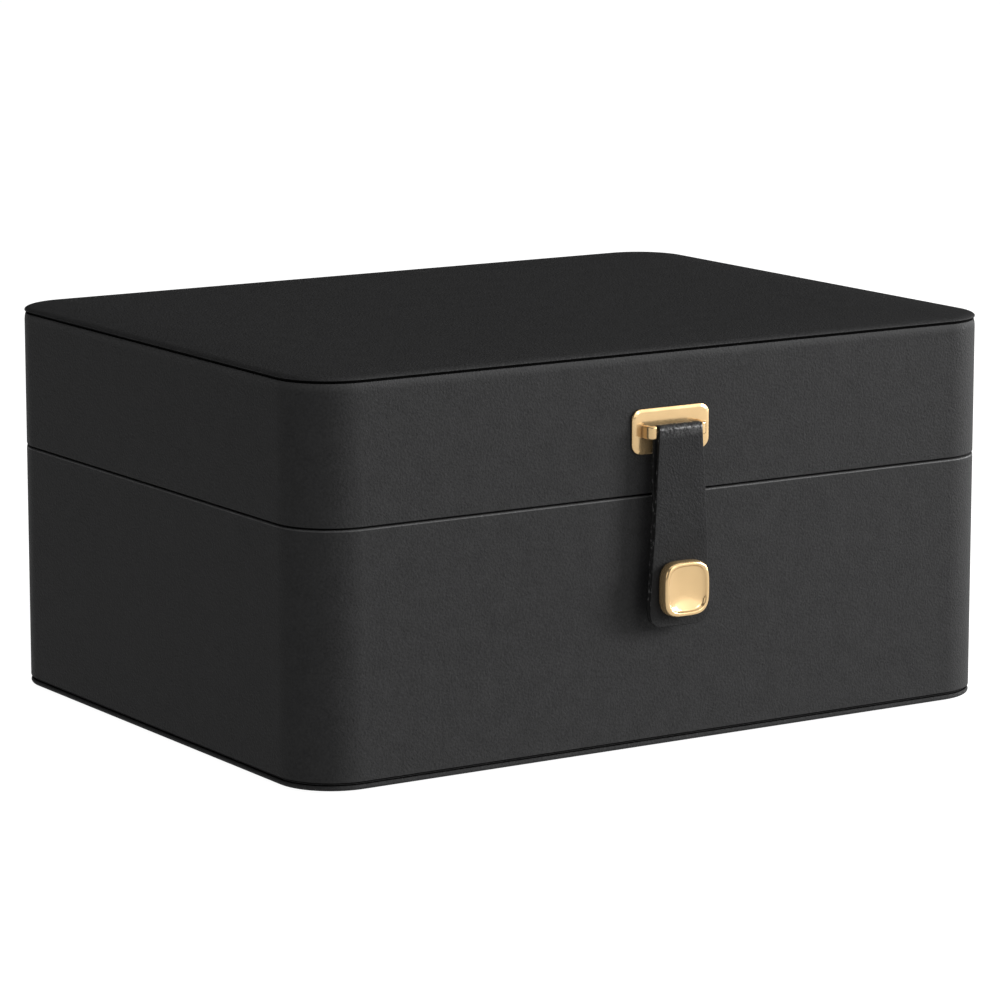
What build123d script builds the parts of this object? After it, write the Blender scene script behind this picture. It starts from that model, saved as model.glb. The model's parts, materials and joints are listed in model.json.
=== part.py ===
from build123d import *

import os
from math import cos, radians, sin

# Jewelry gift box: a leather-wrapped base and a hinged lid, a lift-out tray with ring rolls,
# and a looped leather strap that hangs from a brass bar on the lid and closes on a magnetic catch.
# Millimetres. +Z is up, the front faces -Y. The origin is the centre of the footprint,
# on the surface that the felt under the box rests on.

# --- Driving dimensions -----------------------------------------------------------------------
BOX_WIDTH = 230.0
BOX_DEPTH = 175.0
CORNER_RADIUS = 16.7

LEATHER = 0.8  # skin glued round the frames
FRAME = 5.0  # wooden wall rings
LINING = 1.2  # velvet-covered card inside the walls
GLUE = 0.05  # room left between pieces that are glued side by side
LIP_RADIUS = 0.5  # soft edge of a wrapped rim

FELT = 0.6
FELT_INSET = 6.0
BOTTOM_PANEL = 1.7
GROOVE = 0.3
BASE_SIDE = 68.8
SEAM = 0.4
LID_SIDE = 38.75
TOP_PANEL = 1.5
TOP_EDGE_RADIUS = 1.2
PANEL_WRAP = 0.9  # how far the cover reaches in from a panel's edge
PANEL_SKIN = 0.5

FLOOR_BOARD = 3.0
FLOOR_VELVET = 1.5
DIVIDER = 3.0
LOWER_DIVIDER_HEIGHT = 34.0
LOWER_DIVIDER_Y = 5.0
LOWER_DIVIDER_X = 36.0
LEDGE = 3.0

TRAY_HEIGHT = 26.0
TRAY_CORNER = 12.0
TRAY_BELOW_RIM = 1.0
TRAY_PLAY = 1.0
TRAY_WALL = 3.0
TRAY_FLOOR = 2.5
TRAY_VELVET = 1.0
TRAY_SETDOWN = 0.1  # gap under the resting tray
TRAY_DIVIDER = 2.5
TRAY_DIVIDER_HEIGHT = 19.0
TRAY_DIVIDER_X = 36.0
ROLL_COUNT = 6
ROLL_PITCH = 13.0
ROLL_GAP = 0.4
ROLL_HEIGHT = 19.0
ROLL_FOOT_RADIUS = 1.5
TAB = 0.6
TAB_WIDTH = 14.0
TAB_REACH = 14.0
TAB_DROP = 10.0

TOP_BOARD = 3.0
CEILING_VELVET = 2.0
LINING_BELOW_RIM = 0.6
MIRROR_WIDTH = 150.0
MIRROR_DEPTH = 100.0
MIRROR_CORNER = 8.0
MIRROR_GLASS = 2.0
MIRROR_BACKING = 1.0
MIRROR_FRAME_SIDE = 4.0
MIRROR_FRAME_LIP = 2.0
MIRROR_FRAME_FACE = 0.8

CLASP_Z = 89.4
BAR_Z = 89.9  # hanging bar of the clasp
BAR_OFF = 4.2  # from the front face to the bar's axis
BAR_RADIUS = 0.6
PLATE_WIDTH = 25.6
PLATE_HEIGHT = 12.6
PLATE_CORNER = 3.0
PLATE = 1.0
PLATE_BEVEL = 0.25
BRACKET_WIDTH = 19.6
BRACKET_HEIGHT = 3.6
BRACKET_POST = 2.0
BRACKET_SHOULDER = 2.4
BRACKET_DEPTH = 1.6
BRACKET_CORNER = 0.9
CLASP_SCREW_RADIUS = 0.55
CLASP_SCREW_BITE = 2.0
BACKING_WIDTH = 24.0
BACKING_HEIGHT = 8.0
BACKING = 0.8
SCREW_HEAD = 0.55

STRAP = 1.0
STRAP_SLACK = 0.08  # between the bar and the loop round it
STRAP_TOP_WIDTH = 14.2
STRAP_END_WIDTH = 20.4
STRAP_END_Z = 35.2
STRAP_END_CORNER = 4.0
STRAP_FLARE_TOP_Z = 90.0
STRAP_FLARE_END_Z = 39.5
STRAP_PART_Z = 79.0  # where the back leg starts to lean in
STRAP_JOIN_Z = 70.0  # where it meets the front leg

CATCH_Z = 46.0
CATCH_RADIUS = 6.5
CATCH_GAP = 0.3
BASE_CATCH = 1.2
MAGNET_RADIUS = 4.6
MAGNET = 0.8
POST_RADIUS = 1.5
WASHER_RADIUS = 5.0
WASHER = 0.6
BUTTON_WIDTH = 15.0
BUTTON_HEIGHT = 15.5
BUTTON = 3.8
BUTTON_CORNER = 4.8
BUTTON_DISH = 1.1
BUTTON_RIM = 1.5
BUTTON_EDGE = 0.9

HINGE_X = 62.0
HINGE_OFF = 2.2  # from the back face to the pin's axis
HINGE_LEAF = 1.0
LEAF_HALF_WIDTH = 13.2
LEAF_HEIGHT = 13.0
LEAF_CORNER = 2.0
KNUCKLE_RADIUS = 1.8
KNUCKLE_CLEAR = 2.1
BARREL_HALF = 11.0
MIDDLE_KNUCKLE_HALF = 3.9
KNUCKLE_GAP = 0.2
PIN_RADIUS = 0.8
PIN_RUNNING = 0.08
STOP_ANGLE = 50.6  # each stop face from the horizontal, so the lid stops just past 100 degrees
STOP_REACH = 6.0
STOP_FOOT = 9.0
SCREW_RADIUS = 0.9
SCREW_HEAD_RADIUS = 1.9
SCREW_LENGTH = 5.0
DRIVE_LENGTH = 2.2  # the cross recess in each screw head
DRIVE_WIDTH = 0.55
DRIVE_DEPTH = 0.5
SCREW_X = 8.0
SCREW_Z = 8.0
HOLE_SLACK = 0.05

# --- Levels and insets worked out from them ----------------------------------------------------
BOTTOM_TOP = FELT + BOTTOM_PANEL
BASE_LOW = BOTTOM_TOP + GROOVE
BASE_HIGH = BASE_LOW + BASE_SIDE
LID_LOW = BASE_HIGH + SEAM
LID_HIGH = LID_LOW + LID_SIDE
TOP_LOW = LID_HIGH + GROOVE
TOP_HIGH = TOP_LOW + TOP_PANEL
SEAM_Z = BASE_HIGH + SEAM / 2

INNER_FRAME = LEATHER + FRAME
INNER_LINING = INNER_FRAME + LINING
INNER_LEDGE = INNER_LINING + LEDGE
FLOOR_LOW = BOTTOM_TOP + FLOOR_BOARD
FLOOR_HIGH = FLOOR_LOW + FLOOR_VELVET

TRAY_HIGH = BASE_HIGH - TRAY_BELOW_RIM
TRAY_LOW = TRAY_HIGH - TRAY_HEIGHT
TRAY_OUTER = INNER_LINING + TRAY_PLAY
TRAY_INNER = TRAY_OUTER + TRAY_WALL
TRAY_INSIDE = TRAY_LOW + TRAY_FLOOR
TRAY_FLOOR_HIGH = TRAY_INSIDE + TRAY_VELVET
RING_ZONE = ROLL_COUNT * ROLL_PITCH
RING_ZONE_FRONT = -(BOX_DEPTH / 2 - TRAY_INNER)
TRAY_DIVIDER_FRONT = RING_ZONE_FRONT + RING_ZONE

CEILING_HIGH = TOP_LOW - TOP_BOARD
CEILING_LOW = CEILING_HIGH - CEILING_VELVET

FRONT_Y = -BOX_DEPTH / 2
BACK_Y = BOX_DEPTH / 2
LOOP_INNER = BAR_RADIUS + STRAP_SLACK
LOOP_OUTER = LOOP_INNER + STRAP
STRAP_FRONT_OFF = BAR_OFF + LOOP_OUTER
STRAP_JOINED_OFF = STRAP_FRONT_OFF - 2 * STRAP
FRAME_INSIDE_OFF = -INNER_FRAME


# --- Shared shapes -------------------------------------------------------------------------------
def slab(inset, low, high):
    """The box's rounded outline, moved in by inset, between two heights."""
    outline = RectangleRounded(BOX_WIDTH - 2 * inset, BOX_DEPTH - 2 * inset, CORNER_RADIUS - inset)
    return Pos(0, 0, low) * extrude(outline, high - low)


def tray_slab(inset, low, high):
    """The tray's outline, whose corners are rounder than the box's, at an inset from the box's sides."""
    corner = TRAY_CORNER + TRAY_OUTER - inset
    outline = RectangleRounded(BOX_WIDTH - 2 * inset, BOX_DEPTH - 2 * inset, corner)
    return Pos(0, 0, low) * extrude(outline, high - low)


def ring(outer_inset, inner_inset, low, high):
    """A wall that follows the box's outline between two insets."""
    return slab(outer_inset, low, high) - slab(inner_inset, low, high)


def block(x0, x1, y0, y1, z0, z1):
    """A plain block between three pairs of coordinates."""
    return Pos((x0 + x1) / 2, (y0 + y1) / 2, (z0 + z1) / 2) * Box(x1 - x0, y1 - y0, z1 - z0)


def front_plane(x, z, off):
    """A plane facing forwards, off millimetres in front of the box's front face."""
    return Plane(origin=(x, FRONT_Y - off, z), x_dir=(1, 0, 0), z_dir=(0, -1, 0))


def front_disc(radius, x, z, off, thickness):
    """A disc that faces forwards, from off outwards."""
    return extrude(front_plane(x, z, off) * Circle(radius), thickness)


def front_panel(width, height, corner, z, off, thickness):
    """A rounded rectangle that faces forwards, from off outwards."""
    return extrude(front_plane(0, z, off) * RectangleRounded(width, height, corner), thickness)


def flat_rectangle(width, depth, corner, low, high):
    """A rounded rectangle that lies flat, between two heights."""
    return Pos(0, 0, low) * extrude(RectangleRounded(width, depth, corner), high - low)


# --- Base ------------------------------------------------------------------------------------------
def make_bottom_panel():
    """Card base panel and the leather folded round it from below."""
    outer = slab(0, FELT, BOTTOM_TOP)
    edges = outer.edges().group_by(Axis.Z)
    outer = fillet(edges[0] + edges[-1], BOTTOM_PANEL / 2 - GLUE)
    pocket = slab(PANEL_WRAP - GLUE, FELT + PANEL_SKIN - GLUE, BOTTOM_TOP)
    return slab(PANEL_WRAP, FELT + PANEL_SKIN, BOTTOM_TOP), outer - pocket


def make_base_frame():
    """Wooden wall ring, drilled for the hinge screws and for the catch and its washer."""
    frame = ring(LEATHER, INNER_FRAME, BOTTOM_TOP, BASE_HIGH - LEATHER)
    frame -= hinge_screws(-1, HOLE_SLACK)
    frame -= front_disc(POST_RADIUS + HOLE_SLACK, 0, CATCH_Z, FRAME_INSIDE_OFF, INNER_FRAME)
    pocket = WASHER + HOLE_SLACK
    return frame - front_disc(WASHER_RADIUS + HOLE_SLACK, 0, CATCH_Z, FRAME_INSIDE_OFF, pocket)


def make_base_leather():
    """Leather skin round the outside and over the rim."""
    skin = slab(0, BASE_LOW, BASE_HIGH)
    edges = skin.edges().group_by(Axis.Z)
    skin = fillet(edges[0] + edges[-1], LIP_RADIUS)
    skin -= slab(LEATHER, BASE_LOW, BASE_HIGH - LEATHER)
    skin -= slab(INNER_FRAME, BASE_LOW, BASE_HIGH)
    skin -= hinge_screws(-1, HOLE_SLACK)
    return skin - front_disc(POST_RADIUS + HOLE_SLACK, 0, CATCH_Z, FRAME_INSIDE_OFF, INNER_FRAME)


def make_base_catch():
    """Magnetic catch on the base's front: its cup with a post through the wall, magnet and washer."""
    cup = front_disc(CATCH_RADIUS, 0, CATCH_Z, 0, BASE_CATCH)
    cup = fillet(cup.edges().group_by(Axis.Y)[0], LIP_RADIUS)
    magnet_off = BASE_CATCH - MAGNET
    cup -= front_disc(MAGNET_RADIUS + HOLE_SLACK, 0, CATCH_Z, magnet_off, MAGNET)
    washer_off = FRAME_INSIDE_OFF + HOLE_SLACK
    cup += front_disc(POST_RADIUS, 0, CATCH_Z, washer_off, -washer_off)
    magnet = front_disc(MAGNET_RADIUS, 0, CATCH_Z, magnet_off, MAGNET - HOLE_SLACK)
    washer = front_disc(WASHER_RADIUS, 0, CATCH_Z, washer_off, WASHER - HOLE_SLACK)
    washer -= front_disc(POST_RADIUS + HOLE_SLACK, 0, CATCH_Z, washer_off, WASHER)
    return cup, magnet, washer


def make_lower_dividers():
    """One long and two short velvet-covered partitions below the tray."""
    top = FLOOR_HIGH + LOWER_DIVIDER_HEIGHT
    half = DIVIDER / 2
    end_x = BOX_WIDTH / 2 - INNER_LEDGE - GLUE
    end_y = BOX_DEPTH / 2 - INNER_LEDGE - GLUE
    near_y = LOWER_DIVIDER_Y + half + GLUE
    long_one = block(-end_x, end_x, LOWER_DIVIDER_Y - half, LOWER_DIVIDER_Y + half, FLOOR_HIGH, top)
    left = block(-LOWER_DIVIDER_X - half, -LOWER_DIVIDER_X + half, near_y, end_y, FLOOR_HIGH, top)
    right = block(LOWER_DIVIDER_X - half, LOWER_DIVIDER_X + half, near_y, end_y, FLOOR_HIGH, top)
    return long_one, left, right


# --- Hinges ----------------------------------------------------------------------------------------
def hinge_screw(x, z, slack):
    """One countersunk screw that goes forwards through a hinge leaf into the back wall."""
    outside_y = BACK_Y + HINGE_LEAF
    shank = SCREW_RADIUS + slack
    head = SCREW_HEAD_RADIUS + slack
    cone = Cone(shank, head, HINGE_LEAF)
    screw = Pos(x, outside_y - HINGE_LEAF / 2, z) * (Rot(-90, 0, 0) * cone)
    rod = Cylinder(shank, SCREW_LENGTH + slack)
    screw += Pos(x, outside_y - (SCREW_LENGTH + slack) / 2, z) * (Rot(90, 0, 0) * rod)
    if slack > 0:
        return screw
    low_y, high_y = outside_y - DRIVE_DEPTH, outside_y + DRIVE_DEPTH
    long_half, short_half = DRIVE_LENGTH / 2, DRIVE_WIDTH / 2
    drive = block(x - long_half, x + long_half, low_y, high_y, z - short_half, z + short_half)
    drive += block(x - short_half, x + short_half, low_y, high_y, z - long_half, z + long_half)
    return screw - drive


def hinge_screws(up, slack=0.0):
    """The four screws of the lid's leaves (up = 1) or of the base's (up = -1)."""
    screws = []
    for middle in (-HINGE_X, HINGE_X):
        for side in (-1, 1):
            screws.append(hinge_screw(middle + side * SCREW_X, SEAM_Z + up * SCREW_Z, slack))
    return Compound(screws)


def hinge_leaf(middle, up):
    """A surface leaf with its knuckles and its two stop lugs: up is 1 on the lid, -1 on the base."""
    axis_y = BACK_Y + HINGE_OFF
    wall_face = BACK_Y + HINGE_LEAF
    knuckle_spans = [(-BARREL_HALF, -MIDDLE_KNUCKLE_HALF - KNUCKLE_GAP)]
    knuckle_spans.append((MIDDLE_KNUCKLE_HALF + KNUCKLE_GAP, BARREL_HALF))
    bore = PIN_RADIUS + HOLE_SLACK
    if up > 0:
        knuckle_spans = [(-MIDDLE_KNUCKLE_HALF, MIDDLE_KNUCKLE_HALF)]
        bore = PIN_RADIUS + PIN_RUNNING

    near, far = sorted((SEAM_Z + up * KNUCKLE_CLEAR, SEAM_Z + up * LEAF_HEIGHT))
    leaf = block(middle - LEAF_HALF_WIDTH, middle + LEAF_HALF_WIDTH, BACK_Y, wall_face, near, far)
    far_edges = leaf.edges().filter_by(Axis.Y).group_by(Axis.Z)[-1 if up > 0 else 0]
    leaf = fillet(far_edges, LEAF_CORNER)
    for start, end in knuckle_spans:
        centre = middle + (start + end) / 2
        low, high = sorted((SEAM_Z, SEAM_Z + up * KNUCKLE_CLEAR))
        leaf += block(middle + start, middle + end, BACK_Y, wall_face, low, high)
        knuckle = Rot(0, 90, 0) * Cylinder(KNUCKLE_RADIUS, end - start)
        leaf += Pos(centre, axis_y, SEAM_Z) * knuckle

    along_y, along_z = cos(radians(STOP_ANGLE)), sin(radians(STOP_ANGLE))
    root = (KNUCKLE_CLEAR * along_y, KNUCKLE_CLEAR * along_z)
    tip = (STOP_REACH * along_y, STOP_REACH * along_z)
    plate_y = HINGE_LEAF - HINGE_OFF
    corners = [(plate_y, KNUCKLE_CLEAR), root, tip, (plate_y, STOP_FOOT)]
    outline = [(axis_y + y, SEAM_Z + up * z) for y, z in corners]
    lug_width = LEAF_HALF_WIDTH - BARREL_HALF - KNUCKLE_GAP
    for side in (-1, 1):
        lug_x = middle + side * (LEAF_HALF_WIDTH - lug_width / 2)
        face = Plane.YZ.offset(lug_x) * make_face(Polyline(*outline, close=True))
        leaf += extrude(face, lug_width / 2, both=True)

    pin_hole = Rot(0, 90, 0) * Cylinder(bore, 2 * BARREL_HALF + 1)
    leaf -= Pos(middle, axis_y, SEAM_Z) * pin_hole
    return leaf - hinge_screws(up, HOLE_SLACK)


def hinge_pin(middle):
    """The pin that runs through one hinge's three knuckles."""
    pin = Rot(0, 90, 0) * Cylinder(PIN_RADIUS, 2 * BARREL_HALF)
    return Pos(middle, BACK_Y + HINGE_OFF, SEAM_Z) * pin


# --- Lid -------------------------------------------------------------------------------------------
def clasp_screw_x():
    """Distance of each clasp screw from the middle."""
    return BRACKET_WIDTH / 2 - BRACKET_POST / 2


def clasp_screw_holes():
    """Two clearance holes through the lid's wall and the clasp plate."""
    reach = INNER_FRAME + PLATE
    radius = CLASP_SCREW_RADIUS + HOLE_SLACK
    holes = []
    for side in (-1, 1):
        holes.append(front_disc(radius, side * clasp_screw_x(), CLASP_Z, FRAME_INSIDE_OFF, reach))
    return Compound(holes)


def make_lid_frame():
    """Wooden wall ring with a pocket for the clasp's backing plate."""
    frame = ring(LEATHER, INNER_FRAME, LID_LOW + LEATHER, TOP_LOW)
    frame -= hinge_screws(1, HOLE_SLACK)
    frame -= clasp_screw_holes()
    pocket = BACKING + SCREW_HEAD + HOLE_SLACK
    width, height = BACKING_WIDTH + 2 * GLUE, BACKING_HEIGHT + 2 * GLUE
    return frame - front_panel(width, height, LEATHER, CLASP_Z, FRAME_INSIDE_OFF, pocket)


def make_lid_leather():
    """Leather skin round the outside and under the rim."""
    skin = slab(0, LID_LOW, LID_HIGH)
    edges = skin.edges().group_by(Axis.Z)
    skin = fillet(edges[0] + edges[-1], LIP_RADIUS)
    skin -= slab(LEATHER, LID_LOW + LEATHER, LID_HIGH)
    skin -= slab(INNER_FRAME, LID_LOW, LID_HIGH)
    return skin - hinge_screws(1, HOLE_SLACK) - clasp_screw_holes()


def make_top_panel():
    """Thin foam and the leather cover drawn over it."""
    cover = slab(0, TOP_LOW, TOP_HIGH)
    edges = cover.edges().group_by(Axis.Z)
    cover = fillet(edges[-1], TOP_EDGE_RADIUS)
    foam_top = TOP_HIGH - LEATHER
    pocket = slab(PANEL_WRAP - GLUE, TOP_LOW, foam_top + GLUE)
    return slab(PANEL_WRAP, TOP_LOW, foam_top), cover - pocket


def make_mirror():
    """Mirror glass, its card backing and the frame that holds both against the lid's ceiling."""
    glass_high = CEILING_LOW - MIRROR_BACKING
    glass_low = glass_high - MIRROR_GLASS
    frame_low = glass_low - MIRROR_FRAME_FACE
    backing = flat_rectangle(MIRROR_WIDTH, MIRROR_DEPTH, MIRROR_CORNER, glass_high, CEILING_LOW)
    glass = flat_rectangle(MIRROR_WIDTH, MIRROR_DEPTH, MIRROR_CORNER, glass_low, glass_high)
    grow, lip = 2 * MIRROR_FRAME_SIDE, 2 * MIRROR_FRAME_LIP
    corner = MIRROR_CORNER + MIRROR_FRAME_SIDE
    frame = flat_rectangle(MIRROR_WIDTH + grow, MIRROR_DEPTH + grow, corner, frame_low, CEILING_LOW)
    frame = fillet(frame.edges().group_by(Axis.Z)[0], MIRROR_FRAME_FACE)
    room = 2 * GLUE
    width, depth = MIRROR_WIDTH + room, MIRROR_DEPTH + room
    frame -= flat_rectangle(width, depth, MIRROR_CORNER, glass_low, CEILING_LOW)
    width, depth, corner = MIRROR_WIDTH - lip, MIRROR_DEPTH - lip, MIRROR_CORNER - MIRROR_FRAME_LIP
    frame -= flat_rectangle(width, depth, corner, frame_low, glass_low)
    return backing, glass, frame


def make_clasp():
    """Clasp plate, hanging bar with its two square shoulders, backing plate and two screws."""
    plate = front_panel(PLATE_WIDTH, PLATE_HEIGHT, PLATE_CORNER, CLASP_Z, 0, PLATE)
    plate = chamfer(plate.edges().group_by(Axis.Y)[0], PLATE_BEVEL)
    plate -= clasp_screw_holes()

    half = BRACKET_WIDTH / 2
    low, high = CLASP_Z - BRACKET_HEIGHT / 2, CLASP_Z + BRACKET_HEIGHT / 2
    front_y = FRONT_Y - BAR_OFF - BRACKET_DEPTH / 2
    plate_y = FRONT_Y - PLATE
    rod = Rot(0, 90, 0) * Cylinder(BAR_RADIUS, BRACKET_WIDTH - BRACKET_POST)
    bar = Pos(0, FRONT_Y - BAR_OFF, BAR_Z) * rod
    for side in (-1, 1):
        outer, inner = side * half, side * (half - BRACKET_SHOULDER)
        shoulder = block(*sorted((outer, inner)), front_y, front_y + BRACKET_DEPTH, low, high)
        post_inner = side * (half - BRACKET_POST)
        shoulder += block(*sorted((outer, post_inner)), front_y + BRACKET_DEPTH, plate_y, low, high)
        front_corners = shoulder.edges().filter_by(Axis.Z).group_by(Axis.Y)[0].sort_by(Axis.X)
        bar += fillet(front_corners[-1 if side > 0 else 0], BRACKET_CORNER)
        thread = CLASP_SCREW_RADIUS + HOLE_SLACK
        bar -= front_disc(thread, side * clasp_screw_x(), CLASP_Z, PLATE, CLASP_SCREW_BITE)

    backing_off = FRAME_INSIDE_OFF + SCREW_HEAD
    backing = front_panel(BACKING_WIDTH, BACKING_HEIGHT, LEATHER, CLASP_Z, backing_off, BACKING)
    backing -= clasp_screw_holes()
    screws = []
    for side in (-1, 1):
        x = side * clasp_screw_x()
        head_off = FRAME_INSIDE_OFF + HOLE_SLACK
        head = front_disc(2 * CLASP_SCREW_RADIUS, x, CLASP_Z, head_off, SCREW_HEAD - HOLE_SLACK)
        length = -backing_off + PLATE + CLASP_SCREW_BITE - HOLE_SLACK
        screws.append(head + front_disc(CLASP_SCREW_RADIUS, x, CLASP_Z, backing_off, length))
    return plate, bar, backing, Compound(screws)


# --- Strap -----------------------------------------------------------------------------------------
def strap_profile():
    """Side view of the looped strap: the fold over the bar, the front leg and the back leg."""
    axis_y = FRONT_Y - BAR_OFF
    front_y = FRONT_Y - STRAP_FRONT_OFF
    joined_y = FRONT_Y - STRAP_JOINED_OFF
    back_y = axis_y + LOOP_OUTER
    fold = Pos(axis_y, BAR_Z) * (Circle(LOOP_OUTER) - Circle(LOOP_INNER))
    fold &= Pos(axis_y, BAR_Z + LOOP_OUTER / 2) * Rectangle(2 * LOOP_OUTER, LOOP_OUTER)
    leg_middle = (BAR_Z + STRAP_END_Z) / 2
    front_leg = Pos(front_y + STRAP / 2, leg_middle) * Rectangle(STRAP, BAR_Z - STRAP_END_Z)
    outer = [(back_y, BAR_Z), (back_y, STRAP_PART_Z), (joined_y, STRAP_JOIN_Z), (joined_y, STRAP_END_Z)]
    inner = [(y - STRAP, z) for y, z in reversed(outer)]
    back_leg = make_face(Polyline(*outer, *inner, close=True))
    return fold + front_leg + back_leg


def strap_outline():
    """Front view of the strap: narrow at the bar, flaring to a wider end with round corners."""
    top = BAR_Z + 2 * LOOP_OUTER
    right = [(STRAP_TOP_WIDTH / 2, top), (STRAP_TOP_WIDTH / 2, STRAP_FLARE_TOP_Z)]
    right += [(STRAP_END_WIDTH / 2, STRAP_FLARE_END_Z), (STRAP_END_WIDTH / 2, STRAP_END_Z)]
    left = [(-x, z) for x, z in reversed(right)]
    outline = make_face(Polyline(*right, *left, close=True))
    return fillet(outline.vertices().group_by(Axis.Y)[0], STRAP_END_CORNER)


def make_strap():
    """The strap: one strip of leather folded over the bar, both legs down to the button."""
    reach = 2 * STRAP_FRONT_OFF
    side = extrude(Plane.YZ * strap_profile(), STRAP_END_WIDTH, both=True)
    front = extrude(front_plane(0, 0, 0) * strap_outline(), reach)
    strap = side & front
    return strap - front_disc(POST_RADIUS + HOLE_SLACK, 0, CATCH_Z, 0, reach)


def make_button():
    """Pillow-shaped button with a dished face, and the post that holds it through the strap."""
    button = front_panel(BUTTON_WIDTH, BUTTON_HEIGHT, BUTTON_CORNER, CATCH_Z, STRAP_FRONT_OFF, BUTTON)
    rims = button.edges().group_by(Axis.Y)
    button = fillet(rims[0] + rims[-1], BUTTON_EDGE)
    floor_off = STRAP_FRONT_OFF + BUTTON - BUTTON_DISH
    mouth = RectangleRounded(
        BUTTON_WIDTH - 2 * BUTTON_RIM, BUTTON_HEIGHT - 2 * BUTTON_RIM, BUTTON_CORNER - BUTTON_RIM
    )
    floor = RectangleRounded(
        BUTTON_WIDTH - 4 * BUTTON_RIM, BUTTON_HEIGHT - 4 * BUTTON_RIM, BUTTON_CORNER - 2 * BUTTON_RIM
    )
    mouth_plane = front_plane(0, CATCH_Z, STRAP_FRONT_OFF + BUTTON)
    button -= loft([front_plane(0, CATCH_Z, floor_off) * floor, mouth_plane * mouth])
    post = front_disc(POST_RADIUS, 0, CATCH_Z, STRAP_JOINED_OFF, 2 * STRAP)
    return button, post


def make_strap_catch():
    """Magnet and its cup on the back of the strap."""
    low = BASE_CATCH + CATCH_GAP
    cup = front_disc(CATCH_RADIUS, 0, CATCH_Z, low, STRAP_JOINED_OFF - low)
    cup = fillet(cup.edges().group_by(Axis.Y)[-1], LIP_RADIUS)
    cup -= front_disc(MAGNET_RADIUS + HOLE_SLACK, 0, CATCH_Z, low, MAGNET)
    return cup, front_disc(MAGNET_RADIUS, 0, CATCH_Z, low + HOLE_SLACK, MAGNET - HOLE_SLACK)


# --- Tray ------------------------------------------------------------------------------------------
def make_tray_dividers():
    """One long and two short partitions in the tray."""
    top = TRAY_FLOOR_HIGH + TRAY_DIVIDER_HEIGHT
    half = TRAY_DIVIDER / 2
    end_x = BOX_WIDTH / 2 - TRAY_INNER - GLUE
    end_y = BOX_DEPTH / 2 - TRAY_INNER - GLUE
    back = TRAY_DIVIDER_FRONT + TRAY_DIVIDER
    long_one = block(-end_x, end_x, TRAY_DIVIDER_FRONT, back, TRAY_FLOOR_HIGH, top)
    left = block(-TRAY_DIVIDER_X - half, -TRAY_DIVIDER_X + half, back + GLUE, end_y, TRAY_FLOOR_HIGH, top)
    right = block(TRAY_DIVIDER_X - half, TRAY_DIVIDER_X + half, back + GLUE, end_y, TRAY_FLOOR_HIGH, top)
    return long_one, left, right


def ring_roll(index):
    """One foam ring roll: a flat foot, straight sides and a round top, along the width."""
    width = ROLL_PITCH - ROLL_GAP
    middle = RING_ZONE_FRONT + ROLL_PITCH * (index + 0.5)
    body = Pos(middle, TRAY_FLOOR_HIGH + (ROLL_HEIGHT - width / 2) / 2)
    profile = body * Rectangle(width, ROLL_HEIGHT - width / 2)
    profile = fillet(profile.vertices().group_by(Axis.Y)[0], ROLL_FOOT_RADIUS)
    profile += Pos(middle, TRAY_FLOOR_HIGH + ROLL_HEIGHT - width / 2) * Circle(width / 2)
    roll = extrude(Plane.YZ * profile, BOX_WIDTH / 2, both=True)
    return roll & tray_slab(TRAY_INNER + ROLL_GAP, TRAY_FLOOR_HIGH, TRAY_HIGH)


def pull_tab(side):
    """A leather tab glued outside the tray's end wall, folded in over its top."""
    outside = BOX_WIDTH / 2 - TRAY_OUTER + GLUE
    low, fold_low, fold_high = TRAY_HIGH - TAB_DROP, TRAY_HIGH + GLUE, TRAY_HIGH + GLUE + TAB
    half = TAB_WIDTH / 2
    leg = block(*sorted((side * outside, side * (outside + TAB))), -half, half, low, fold_high)
    inner = outside - TAB_REACH
    tongue = block(*sorted((side * inner, side * outside)), -half, half, fold_low, fold_high)
    tip = tongue.edges().filter_by(Axis.Z).group_by(Axis.X)[0 if side > 0 else -1]
    return leg + fillet(tip, TAB_WIDTH / 3)


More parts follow.
